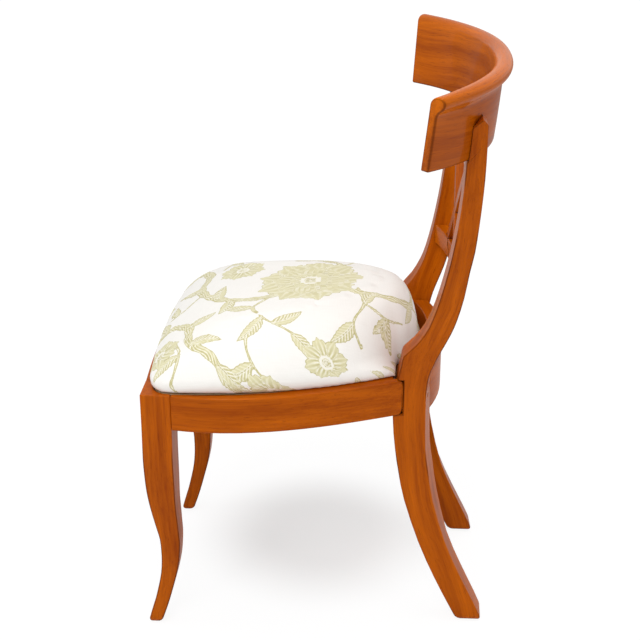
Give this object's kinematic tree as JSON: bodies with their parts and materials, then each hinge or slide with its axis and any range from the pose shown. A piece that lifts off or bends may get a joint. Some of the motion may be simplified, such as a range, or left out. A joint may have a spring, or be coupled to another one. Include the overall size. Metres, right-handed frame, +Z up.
{
  "type": "klismos dining chair",
  "caption": "Klismos chair with sabre legs, a curved tablet crest rail, a crossed splat and a lift-out upholstered seat in printed cloth.",
  "frame": {"origin": "on the floor, under the middle of the chair's bounding box", "axes": "+Z up; -Y is the front, the way a sitter faces; +X is the sitter's left"},
  "size_m": [0.6668, 0.5354, 0.876],
  "materials": {
    "polished_wood": "gloss lacquer over reddish-brown cherry",
    "inner_wood": "bare planed beech",
    "screw_steel": "bright zinc",
    "jute_webbing": "woven jute",
    "seat_foam": "open-cell foam",
    "printed_linen": "matt off-white cloth with a sage leaf print",
    "dust_cloth": "black cambric"
  },
  "bodies": {
    "frame": {"crest_dowel_left": "inner_wood", "crest_dowel_right": "inner_wood", "crest_rail": "polished_wood", "front_block_screw_lower_left": "screw_steel", "front_block_screw_lower_right": "screw_steel", "front_block_screw_upper_left": "screw_steel", "front_block_screw_upper_right": "screw_steel", "front_corner_block_left": "inner_wood", "front_corner_block_right": "inner_wood", "front_leg_left": "polished_wood", "front_leg_right": "polished_wood", "front_rail": "polished_wood", "post_pin_left": "polished_wood", "post_pin_right": "polished_wood", "rear_block_screw_lower_left": "screw_steel", "rear_block_screw_lower_right": "screw_steel", "rear_block_screw_upper_left": "screw_steel", "rear_block_screw_upper_right": "screw_steel", "rear_corner_block_left": "inner_wood", "rear_corner_block_right": "inner_wood", "rear_post_left": "polished_wood", "rear_post_right": "polished_wood", "rear_rail": "polished_wood", "side_rail_left": "polished_wood", "side_rail_right": "polished_wood", "splat_bar_front": "polished_wood", "splat_bar_rear": "polished_wood", "stay_rail": "polished_wood"},
    "seat": {"dust_cover": "dust_cloth", "foam_pad": "seat_foam", "seat_cover": "printed_linen", "seat_frame_front": "inner_wood", "seat_frame_rear": "inner_wood", "seat_frame_side_left": "inner_wood", "seat_frame_side_right": "inner_wood", "webbing_across_front": "jute_webbing", "webbing_across_middle": "jute_webbing", "webbing_across_rear": "jute_webbing", "webbing_along_centre": "jute_webbing", "webbing_along_left": "jute_webbing", "webbing_along_right": "jute_webbing"}
  },
  "joints": [
    {"name": "seat_lift", "type": "slide", "parent": "frame", "child": "seat", "axis": [0, 0, 1], "range_m": [0, 0.12]}
  ]
}
